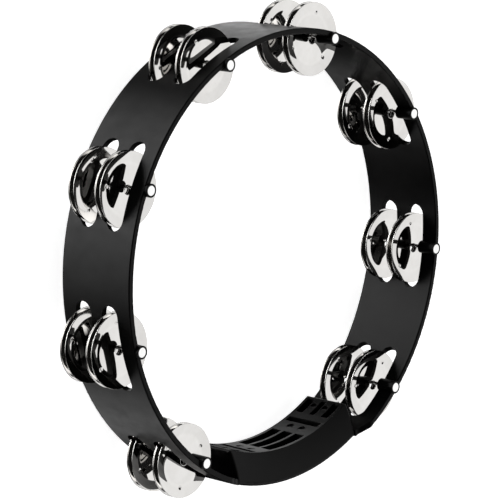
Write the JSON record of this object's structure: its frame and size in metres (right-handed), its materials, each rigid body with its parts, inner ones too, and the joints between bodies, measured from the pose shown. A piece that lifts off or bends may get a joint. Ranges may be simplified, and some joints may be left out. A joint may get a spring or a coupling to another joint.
{
  "type": "tambourine",
  "caption": "Hand tambourine: black moulded hoop with a cored grip, slotted wall, headed pins and pairs of dished steel jingles that slide on them.",
  "frame": {"origin": "on the hoop's axis, in the plane of its back rim", "axes": "+Z along the hoop's axis towards the front, where the pin heads are; -Y from the axis towards the middle of the grip; +X makes the frame right-handed"},
  "size_m": [0.2838, 0.2619, 0.0514],
  "materials": {
    "hoop": "satin black moulded ABS",
    "pin": "bright nickel-plated steel",
    "jingle": "polished nickel-plated steel sheet"
  },
  "bodies": {
    "frame": {"hoop": "hoop", "pin_1": "pin", "pin_2": "pin", "pin_3": "pin", "pin_4": "pin", "pin_5": "pin", "pin_6": "pin", "pin_7": "pin", "pin_8": "pin"},
    "jingle_1_front_upper": {"jingle_1_front_upper": "jingle"},
    "jingle_1_front_lower": {"jingle_1_front_lower": "jingle"},
    "jingle_1_rear_upper": {"jingle_1_rear_upper": "jingle"},
    "jingle_1_rear_lower": {"jingle_1_rear_lower": "jingle"},
    "jingle_2_front_upper": {"jingle_2_front_upper": "jingle"},
    "jingle_2_front_lower": {"jingle_2_front_lower": "jingle"},
    "jingle_2_rear_upper": {"jingle_2_rear_upper": "jingle"},
    "jingle_2_rear_lower": {"jingle_2_rear_lower": "jingle"},
    "jingle_3_front_upper": {"jingle_3_front_upper": "jingle"},
    "jingle_3_front_lower": {"jingle_3_front_lower": "jingle"},
    "jingle_3_rear_upper": {"jingle_3_rear_upper": "jingle"},
    "jingle_3_rear_lower": {"jingle_3_rear_lower": "jingle"},
    "jingle_4_front_upper": {"jingle_4_front_upper": "jingle"},
    "jingle_4_front_lower": {"jingle_4_front_lower": "jingle"},
    "jingle_4_rear_upper": {"jingle_4_rear_upper": "jingle"},
    "jingle_4_rear_lower": {"jingle_4_rear_lower": "jingle"},
    "jingle_5_front_upper": {"jingle_5_front_upper": "jingle"},
    "jingle_5_front_lower": {"jingle_5_front_lower": "jingle"},
    "jingle_5_rear_upper": {"jingle_5_rear_upper": "jingle"},
    "jingle_5_rear_lower": {"jingle_5_rear_lower": "jingle"},
    "jingle_6_front_upper": {"jingle_6_front_upper": "jingle"},
    "jingle_6_front_lower": {"jingle_6_front_lower": "jingle"},
    "jingle_6_rear_upper": {"jingle_6_rear_upper": "jingle"},
    "jingle_6_rear_lower": {"jingle_6_rear_lower": "jingle"},
    "jingle_7_front_upper": {"jingle_7_front_upper": "jingle"},
    "jingle_7_front_lower": {"jingle_7_front_lower": "jingle"},
    "jingle_7_rear_upper": {"jingle_7_rear_upper": "jingle"},
    "jingle_7_rear_lower": {"jingle_7_rear_lower": "jingle"},
    "jingle_8_front_upper": {"jingle_8_front_upper": "jingle"},
    "jingle_8_front_lower": {"jingle_8_front_lower": "jingle"},
    "jingle_8_rear_upper": {"jingle_8_rear_upper": "jingle"},
    "jingle_8_rear_lower": {"jingle_8_rear_lower": "jingle"}
  },
  "joints": [
    {"name": "jingle_1_front_upper_slide", "type": "slide", "parent": "frame", "child": "jingle_1_front_upper", "axis": [0, 0, 1], "range_m": [0, 0.0044]},
    {"name": "jingle_1_front_lower_slide", "type": "slide", "parent": "frame", "child": "jingle_1_front_lower", "axis": [0, 0, 1], "range_m": [-0.0004, 0]},
    {"name": "jingle_1_rear_upper_slide", "type": "slide", "parent": "frame", "child": "jingle_1_rear_upper", "axis": [0, 0, 1], "range_m": [0, 0.0044]},
    {"name": "jingle_1_rear_lower_slide", "type": "slide", "parent": "frame", "child": "jingle_1_rear_lower", "axis": [0, 0, 1], "range_m": [-0.0004, 0]},
    {"name": "jingle_2_front_upper_slide", "type": "slide", "parent": "frame", "child": "jingle_2_front_upper", "axis": [0, 0, 1], "range_m": [0, 0.0044]},
    {"name": "jingle_2_front_lower_slide", "type": "slide", "parent": "frame", "child": "jingle_2_front_lower", "axis": [0, 0, 1], "range_m": [-0.0004, 0]},
    {"name": "jingle_2_rear_upper_slide", "type": "slide", "parent": "frame", "child": "jingle_2_rear_upper", "axis": [0, 0, 1], "range_m": [0, 0.0044]},
    {"name": "jingle_2_rear_lower_slide", "type": "slide", "parent": "frame", "child": "jingle_2_rear_lower", "axis": [0, 0, 1], "range_m": [-0.0004, 0]},
    {"name": "jingle_3_front_upper_slide", "type": "slide", "parent": "frame", "child": "jingle_3_front_upper", "axis": [0, 0, 1], "range_m": [0, 0.0044]},
    {"name": "jingle_3_front_lower_slide", "type": "slide", "parent": "frame", "child": "jingle_3_front_lower", "axis": [0, 0, 1], "range_m": [-0.0004, 0]},
    {"name": "jingle_3_rear_upper_slide", "type": "slide", "parent": "frame", "child": "jingle_3_rear_upper", "axis": [0, 0, 1], "range_m": [0, 0.0044]},
    {"name": "jingle_3_rear_lower_slide", "type": "slide", "parent": "frame", "child": "jingle_3_rear_lower", "axis": [0, 0, 1], "range_m": [-0.0004, 0]},
    {"name": "jingle_4_front_upper_slide", "type": "slide", "parent": "frame", "child": "jingle_4_front_upper", "axis": [0, 0, 1], "range_m": [0, 0.0044]},
    {"name": "jingle_4_front_lower_slide", "type": "slide", "parent": "frame", "child": "jingle_4_front_lower", "axis": [0, 0, 1], "range_m": [-0.0004, 0]},
    {"name": "jingle_4_rear_upper_slide", "type": "slide", "parent": "frame", "child": "jingle_4_rear_upper", "axis": [0, 0, 1], "range_m": [0, 0.0044]},
    {"name": "jingle_4_rear_lower_slide", "type": "slide", "parent": "frame", "child": "jingle_4_rear_lower", "axis": [0, 0, 1], "range_m": [-0.0004, 0]},
    {"name": "jingle_5_front_upper_slide", "type": "slide", "parent": "frame", "child": "jingle_5_front_upper", "axis": [0, 0, 1], "range_m": [0, 0.0044]},
    {"name": "jingle_5_front_lower_slide", "type": "slide", "parent": "frame", "child": "jingle_5_front_lower", "axis": [0, 0, 1], "range_m": [-0.0004, 0]},
    {"name": "jingle_5_rear_upper_slide", "type": "slide", "parent": "frame", "child": "jingle_5_rear_upper", "axis": [0, 0, 1], "range_m": [0, 0.0044]},
    {"name": "jingle_5_rear_lower_slide", "type": "slide", "parent": "frame", "child": "jingle_5_rear_lower", "axis": [0, 0, 1], "range_m": [-0.0004, 0]},
    {"name": "jingle_6_front_upper_slide", "type": "slide", "parent": "frame", "child": "jingle_6_front_upper", "axis": [0, 0, 1], "range_m": [0, 0.0044]},
    {"name": "jingle_6_front_lower_slide", "type": "slide", "parent": "frame", "child": "jingle_6_front_lower", "axis": [0, 0, 1], "range_m": [-0.0004, 0]},
    {"name": "jingle_6_rear_upper_slide", "type": "slide", "parent": "frame", "child": "jingle_6_rear_upper", "axis": [0, 0, 1], "range_m": [0, 0.0044]},
    {"name": "jingle_6_rear_lower_slide", "type": "slide", "parent": "frame", "child": "jingle_6_rear_lower", "axis": [0, 0, 1], "range_m": [-0.0004, 0]},
    {"name": "jingle_7_front_upper_slide", "type": "slide", "parent": "frame", "child": "jingle_7_front_upper", "axis": [0, 0, 1], "range_m": [0, 0.0044]},
    {"name": "jingle_7_front_lower_slide", "type": "slide", "parent": "frame", "child": "jingle_7_front_lower", "axis": [0, 0, 1], "range_m": [-0.0004, 0]},
    {"name": "jingle_7_rear_upper_slide", "type": "slide", "parent": "frame", "child": "jingle_7_rear_upper", "axis": [0, 0, 1], "range_m": [0, 0.0044]},
    {"name": "jingle_7_rear_lower_slide", "type": "slide", "parent": "frame", "child": "jingle_7_rear_lower", "axis": [0, 0, 1], "range_m": [-0.0004, 0]},
    {"name": "jingle_8_front_upper_slide", "type": "slide", "parent": "frame", "child": "jingle_8_front_upper", "axis": [0, 0, 1], "range_m": [0, 0.0044]},
    {"name": "jingle_8_front_lower_slide", "type": "slide", "parent": "frame", "child": "jingle_8_front_lower", "axis": [0, 0, 1], "range_m": [-0.0004, 0]},
    {"name": "jingle_8_rear_upper_slide", "type": "slide", "parent": "frame", "child": "jingle_8_rear_upper", "axis": [0, 0, 1], "range_m": [0, 0.0044]},
    {"name": "jingle_8_rear_lower_slide", "type": "slide", "parent": "frame", "child": "jingle_8_rear_lower", "axis": [0, 0, 1], "range_m": [-0.0004, 0]}
  ]
}
